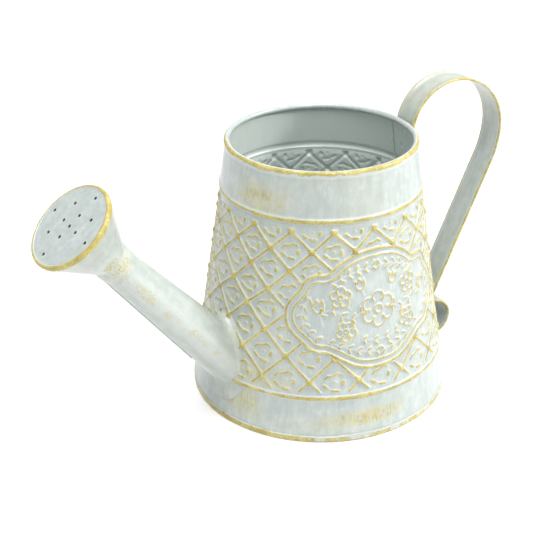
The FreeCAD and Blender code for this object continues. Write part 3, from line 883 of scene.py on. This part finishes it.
# The neck's solder: places along the spout, and how far the solder stands out there.
NECK_RUN = (
    (-36.5, -0.1), (-35.3, 0.12), (-34, 0.24), (-32.8, 0.40), (-31.6, 0.58), (-30.4, 0.74),
    (-29.2, 0.86), (-28.0, 0.92), (-26.8, 0.94), (-25.8, 1.00), (-24.8, 1.25), (-25.2, 0.2),
    (-27, -0.1), (-30, -0.1), (-33, -0.1))


def make_neck_solder():
    """The lumpy ring of painted solder between the rose and the spout."""
    profile = [(spout_radius(-height) + rise, height) for height, rise in NECK_RUN]
    made = turned(profile, NECK_COLUMNS)
    azimuth, radius, height = polar(places(made))
    lumps = 0.16 * wander(azimuth + height * 9, 2.0) + 0.10 * wander(azimuth * 3 - height * 20, 5.0)
    outer = radius > spout_radius(-height) + 0.1
    push_out(made, np.where(outer, lumps, 0.0))
    bmesh.ops.transform(made, matrix=spout_frame(), verts=made.verts[:])
    fade = np.clip((height + 37) / 7, 0, 1)
    blotch = near(azimuth, NECK_BLOTCH, 70) * fade
    return finish_piece("rose_neck_lumps", made, NECK_PAINT, "painted_solder",
                        ["rose_neck_solder"], inside=0 * azimuth, brush=0.20 + 0.6 * blotch,
                        rub=0.04 + 0.42 * blotch + 0.20 * fade * wander(azimuth + height * 4, 3.0))


# ---------------------------------------------------------------- the handle

def strap_section():
    """The strap across its width, as (offset, across): flat inside, both edges folded over."""
    edge = [(-0.30, 7.15), (-0.25, 7.45), (-0.08, 7.66), (0.22, 7.70), (0.58, 7.68), (0.80, 7.50),
            (0.90, 7.15), (0.90, 6.55), (0.86, 6.00), (0.70, 5.68), (0.46, 5.56), (0.30, 5.40)]
    flat = [(-0.30, across) for across in (-5.4, -3.6, -1.8, 0.0, 1.8, 3.6, 5.4)]
    web = [(0.30, across) for across in (3.6, 1.8, 0.0, -1.8, -3.6)]
    return flat + edge + web + [(offset, -across) for offset, across in reversed(edge)]


def strap_run():
    """The strap's runs from the tab under the rim to the curl: lines (length) and bends (radius,
    turn in degrees, left turns positive)."""
    lean = math.radians(FLANK_LEAN)
    shoulder = CROWN_REACH + CROWN_FRONT - SHOULDER * (1 - math.cos(lean))
    bend = FOOT_REACH + FOOT_BEND * (1 - math.cos(lean))
    flank = (shoulder - bend) / math.sin(lean)
    shoulder_height = CROWN_HEIGHT - CROWN_FRONT - SHOULDER * math.sin(lean)
    bend_height = shoulder_height - flank * math.cos(lean)
    foot = bend_height - FOOT_BEND * math.sin(lean) - CURL_HEIGHT
    return [("line", TAB_LENGTH), ("bend", CROWN_BACK, -90.0 - TAB_LEAN),
            ("bend", CROWN_FRONT, -90.0), ("bend", SHOULDER, -FLANK_LEAN), ("line", flank),
            ("bend", FOOT_BEND, FLANK_LEAN), ("line", foot), ("bend", CURL_FOOT, CURL_TURNS[0]),
            ("bend", CURL_ROUND, CURL_TURNS[1])]


def make_handle():
    """The strap, swept along its runs."""
    made = bmesh.new()
    tab = math.radians(TAB_LEAN)
    heading = math.radians(90.0 + TAB_LEAN)
    place = Vector((CROWN_REACH - CROWN_BACK * math.cos(tab) + TAB_LENGTH * math.sin(tab), 0,
                    CROWN_HEIGHT - CROWN_BACK * (1 + math.sin(tab)) - TAB_LENGTH * math.cos(tab)))
    left = Vector((-math.sin(heading), 0, math.cos(heading)))
    corners = [made.verts.new(place + left * offset + Vector((0, across, 0)))
               for offset, across in strap_section()]
    ring = [made.edges.new((corners[number - 1], corners[number]))
            for number in range(len(corners))]
    for run in strap_run():
        forward = Vector((math.cos(heading), 0, math.sin(heading)))
        left = Vector((-math.sin(heading), 0, math.cos(heading)))
        if run[0] == "line":
            steps = max(1, round(run[1] / STRAIGHT_STEP))
            for step in range(steps):
                grown = bmesh.ops.extrude_edge_only(made, edges=ring)["geom"]
                ring = [item for item in grown if isinstance(item, bmesh.types.BMEdge)]
                moved = [item for item in grown if isinstance(item, bmesh.types.BMVert)]
                bmesh.ops.translate(made, verts=moved, vec=forward * (run[1] / steps))
                ring = [edge for edge in ring if all(vert in set(moved) for vert in edge.verts)]
            place = place + forward * run[1]
            continue
        turn = math.radians(run[2])
        centre = place + left * math.copysign(run[1], turn)
        steps = max(6, round(abs(turn) * run[1] / BENT_STEP))
        geometry = ring + list({vert for edge in ring for vert in edge.verts})
        grown = bmesh.ops.spin(made, geom=geometry, cent=centre, axis=(0, -1, 0), angle=turn,
                               steps=steps, use_merge=False)["geom_last"]
        ring = [item for item in grown if isinstance(item, bmesh.types.BMEdge)]
        place = centre + Matrix.Rotation(turn, 3, (0, -1, 0)) @ (place - centre)
        heading += turn
    bmesh.ops.remove_doubles(made, verts=made.verts[:], dist=TOUCHING)
    close_and_face_outwards(made)
    points = places(made)
    across = abs(points[:, 1])
    wobble = wander(points[:, 2] * 4 + points[:, 0] * 3, 6.0)
    rub = np.clip((across - 6.7) / 0.5, 0, 1) * (0.85 + 0.3 * wobble)
    rub = np.maximum(rub, hump(across - 6.7, 1.0) * (0.5 + 0.4 * wobble))
    crown = hump(points[:, 2] - 150, 45)
    return finish_piece("handle_folded_strap", made, STRAP_PAINT, "strap_paint",
                        ["handle_strap"], rub=rub, brush=0.12 + 0.30 * crown, inside=0 * rub)


# ---------------------------------------------------------------- studio

# Name, place, aim, width in metres, power in watts and colour.
LIGHTS = (
    ("key", (0.95, -0.55, 0.75), (0.0, 0.0, 0.06), 0.30, 13.0, (1.0, 0.99, 0.97)),
    ("front", (-0.05, -0.75, 1.25), (0.0, 0.0, 0.08), 0.6, 8.0, (1, 1, 1)),
    ("top", (-0.15, -0.1, 1.3), (0.0, 0.0, 0.08), 0.8, 12.5, (1, 1, 1)))
SURROUND = (0.97, 0.985, 1.0, 1.0)
SURROUND_STRENGTH = 0.62
FLOOR_GLOW = 0.42

CAMERA_PLACE = (-0.26606, -0.46324, 0.33741)
CAMERA_AHEAD = (0.40311, 0.79222, -0.45813)
CAMERA_UP = (0.2167, 0.40374, 0.88884)
LENS = 79.55


def make_floor():
    """A plain pale floor."""
    finish = Finish("studio_floor")
    where = finish.placed()
    cloud = finish.noise(where, 3.0, 2.0)
    colour = finish.colour_mix(cloud, FLOOR_DARK, FLOOR_LIGHT)
    material = finish.surface(colour, 0.35 + cloud * 0.05, cloud, 0.00001,
                              Emission_Color=(1, 1, 1, 1), Emission_Strength=FLOOR_GLOW)
    made = bmesh.new()
    bmesh.ops.create_grid(made, x_segments=4, y_segments=4, size=6.0)
    bmesh.ops.translate(made, verts=made.verts[:], vec=(0, 0, cad_box[0].z - 0.0002))
    data = bpy.data.meshes.new("floor")
    made.to_mesh(data)
    made.free()
    data.materials.append(material)
    floor = bpy.data.objects.new("floor", data)
    bpy.context.scene.collection.objects.link(floor)


def area_light(name, place, aim, width, power, colour):
    """A soft box that points at aim."""
    data = bpy.data.lights.new(name, "AREA")
    data.shape = "DISK"
    data.size = width
    data.energy = power
    data.color = colour
    lamp = bpy.data.objects.new(name, data)
    lamp.location = place
    lamp.rotation_mode = "QUATERNION"
    lamp.rotation_quaternion = (Vector(aim) - Vector(place)).to_track_quat("-Z", "Y")
    bpy.context.scene.collection.objects.link(lamp)


def make_studio():
    """Soft studio light from the upper right, a weak fill and a white surround."""
    world = bpy.data.worlds.new("studio")
    bpy.context.scene.world = world
    world.use_nodes = True
    background = world.node_tree.nodes["Background"]
    background.inputs["Color"].default_value = SURROUND
    background.inputs["Strength"].default_value = SURROUND_STRENGTH
    for light in LIGHTS:
        area_light(*light)
    bpy.context.scene.view_settings.view_transform = "Standard"
    bpy.context.scene.view_settings.look = "None"


def make_camera():
    """A long lens above and to the spout's side of the front."""
    data = bpy.data.cameras.new("camera")
    data.sensor_width = 36.0
    data.lens = LENS
    data.dof.use_dof = False
    data.clip_end = 50.0
    camera = bpy.data.objects.new("camera", data)
    forward = Vector(CAMERA_AHEAD).normalized()
    right = forward.cross(Vector(CAMERA_UP)).normalized()
    up = right.cross(forward)
    turn = Matrix((right, up, -forward)).transposed()
    camera.matrix_world = Matrix.Translation(CAMERA_PLACE) @ turn.to_4x4()
    bpy.context.scene.collection.objects.link(camera)
    bpy.context.scene.camera = camera


# ---------------------------------------------------------------- assembly

def spout_reach(finish, turn=0.0, radius=0.0):
    """How far a point is from a line along the spout, and how far below the rose's face.

    The line is the spout's axis, or runs beside it at a turn in degrees and a radius.
    """
    angle = math.radians(turn)
    line = spout_frame() @ Vector((radius * math.cos(angle), radius * math.sin(angle), 0)) * MM
    axis = SPOUT_ROTATION.to_matrix() @ Vector((0, 0, 1))
    where = finish.node("ShaderNodeTexCoord", output="Object")
    centred = finish.node("ShaderNodeVectorMath", {0: where, 1: line}, operation="SUBTRACT")
    off_axis = finish.node("ShaderNodeVectorMath", {0: centred, 1: axis}, operation="CROSS_PRODUCT")
    reach = finish.node("ShaderNodeVectorMath", {0: off_axis}, output="Value", operation="LENGTH")
    depth = finish.node("ShaderNodeVectorMath", {0: centred, 1: -axis}, output="Value",
                        operation="DOT_PRODUCT")
    return reach, depth


# Distances from the spout's axis, in metres, where the rose's masks begin and end.
FACE_EDGE = (0.0192, 0.0203)
CONE_EDGE = (0.0208, 0.0216)
PIERCED = (0.0175, 0.0180)
UNDER_FACE = (0.0005, 0.00065)  # depths below the rose's face


def face_edge(finish):
    """The rolled edge round the pierced disc."""
    return spout_reach(finish)[0].ramp(*FACE_EDGE)


def cone_edge(finish):
    """The rose's rim and the patch of gold above its neck."""
    reach, depth = spout_reach(finish, NECK_BLOTCH - 12, 11.0)
    patch = (1 - reach.ramp(0.002, 0.010)) * depth.ramp(0.011, 0.023) * 0.62
    return spout_reach(finish)[0].ramp(*CONE_EDGE).most(patch)


def spout_trail(finish):
    """Flecks of gold that trail down the spout's side."""
    reach = spout_reach(finish, NECK_BLOTCH - 14, 9.5)[0]
    return (1 - reach.ramp(0.001, 0.0070)) * 0.52


def hole_shade_mask(finish):
    """A mask of the holes' walls and the back of the pierced disc."""
    # Painted shade: this mask paints the holes' walls and the disc's back near black.
    reach, depth = spout_reach(finish)
    return depth.ramp(*UNDER_FACE) * (1 - reach.ramp(*PIERCED))


def dress(node, material):
    """Give a CAD node its material."""
    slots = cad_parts[node].data.materials
    slots.clear()
    slots.append(material)


UNTURN = tuple(SPOUT_ROTATION.to_matrix().inverted().to_euler("XYZ"))
PAINT = whitewash("whitewashed_wall", grain=(1, 1, 0.09))
FOOT_PAINT = whitewash("whitewashed_foot", grain=(1, 1, 0.3), loose_rub=0.1)
SPOUT_PAINT = whitewash("whitewashed_spout", UNTURN, (1, 1, 0.25), loose_rub=0.26,
                        edge=spout_trail)
NECK_PAINT = whitewash("whitewashed_neck", UNTURN, (1, 1, 0.6))
ROOT_PAINT = whitewash("whitewashed_spout_root", UNTURN, (1, 1, 0.4), loose_rub=0.36)
STRAP_PAINT = whitewash("whitewashed_strap", grain=(0.12, 1.0, 0.12))
ROSE_FACE_PAINT = whitewash("whitewashed_rose_face", UNTURN, (1, 1, 1), loose_rub=0.08,
                            edge=face_edge, hole_shade=hole_shade_mask)
ROSE_CONE_PAINT = whitewash("whitewashed_rose_cone", UNTURN, (1, 1, 0.3), loose_rub=0.30,
                            edge=cone_edge)
SEAM_SOLDER = solder("seam_solder_grey")
SEALANT = sealing_paste("grey_sealant")

for side, start in SECTORS.items():
    panel_sector("wall_panel_" + side, start)
make_skirt()
make_upper_band()
make_foot()
make_neck_solder()
make_handle()
dress("side_seam_solder", SEAM_SOLDER)
dress("base_sealant", SEALANT)
dress("spout_tube", SPOUT_PAINT)
dress("spout_seam_solder", SPOUT_PAINT)
dress("spout_root_solder", ROOT_PAINT)
dress("rose_cone", ROSE_CONE_PAINT)
dress("rose_face", ROSE_FACE_PAINT)
dress("handle_upper_welds", SEAM_SOLDER)
dress("handle_lower_welds", SEAM_SOLDER)
make_floor()
make_studio()
make_camera()
